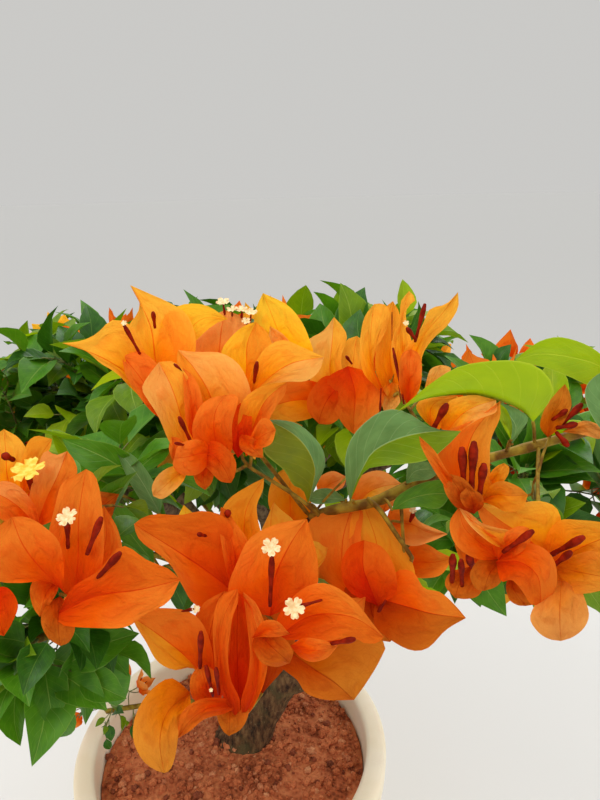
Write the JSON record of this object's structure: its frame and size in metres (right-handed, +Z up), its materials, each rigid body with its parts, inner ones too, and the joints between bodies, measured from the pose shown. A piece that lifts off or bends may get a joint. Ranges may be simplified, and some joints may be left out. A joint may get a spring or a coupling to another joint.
{
  "type": "potted bougainvillea bush",
  "caption": "Potted bougainvillea bush: round plastic pot of red grit, short leaning trunk, arching boughs and separate masses of orange bracts and green leaves.",
  "frame": {"origin": "centre of the pot's flat underside", "axes": "+Z up; -Y towards the side with the long flowering bough; +X to the right seen from that side"},
  "size_m": [0.8863, 0.9555, 0.9984],
  "materials": {
    "pot": "moulded cream plastic, slightly weathered",
    "soil": "loose red laterite grit and clods, moist and matte",
    "bark": "rough fissured grey-brown bark",
    "bough": "thin olive-brown bark, smoother than the trunk's",
    "bracts": "papery translucent orange bracts with dark red flower tubes",
    "leaves": "soft green leaves with a satin upper side"
  },
  "bodies": {
    "root": {"bough_front": "bough", "bough_front_left": "bough", "bough_inner_back_left": "bough", "bough_inner_back_right": "bough", "bough_inner_front": "bough", "bough_inner_left": "bough", "bough_inner_right": "bough", "bough_top": "bough", "bracts_front_left": "bracts", "bracts_front_low": "bracts", "bracts_front_lower_right": "bracts", "bracts_front_right": "bracts", "bracts_front_tip": "bracts", "bracts_front_top": "bracts", "bracts_front_upper_right": "bracts", "bracts_outer_back": "bracts", "bracts_outer_back_left": "bracts", "bracts_outer_back_right": "bracts", "bracts_outer_front_left": "bracts", "bracts_outer_front_right": "bracts", "bracts_outer_left": "bracts", "bracts_outer_right": "bracts", "bracts_top": "bracts", "branch_front_far_right": "bough", "branch_front_leaves": "bough", "branch_front_left": "bough", "branch_front_low": "bough", "branch_front_lower_right": "bough", "branch_front_right": "bough", "branch_front_top": "bough", "branch_front_upper_right": "bough", "branch_low_back": "bough", "branch_low_back_left": "bough", "branch_low_left": "bough", "branch_lower_left": "bough", "branch_outer_back": "bough", "branch_outer_back_left": "bough", "branch_outer_back_right": "bough", "branch_outer_front_left": "bough", "branch_outer_front_right": "bough", "branch_outer_left": "bough", "branch_outer_right": "bough", "leader": "bough", "leaves_front_left": "leaves", "leaves_front_right": "leaves", "leaves_inner_back_left": "leaves", "leaves_inner_back_right": "leaves", "leaves_inner_front": "leaves", "leaves_inner_left": "leaves", "leaves_inner_right": "leaves", "leaves_low_back": "leaves", "leaves_low_back_left": "leaves", "leaves_low_left": "leaves", "leaves_lower_left": "leaves", "leaves_over_rim": "leaves", "pot": "pot", "shoot_over_rim": "bough", "soil": "soil", "trunk": "bark"}
  },
  "joints": []
}
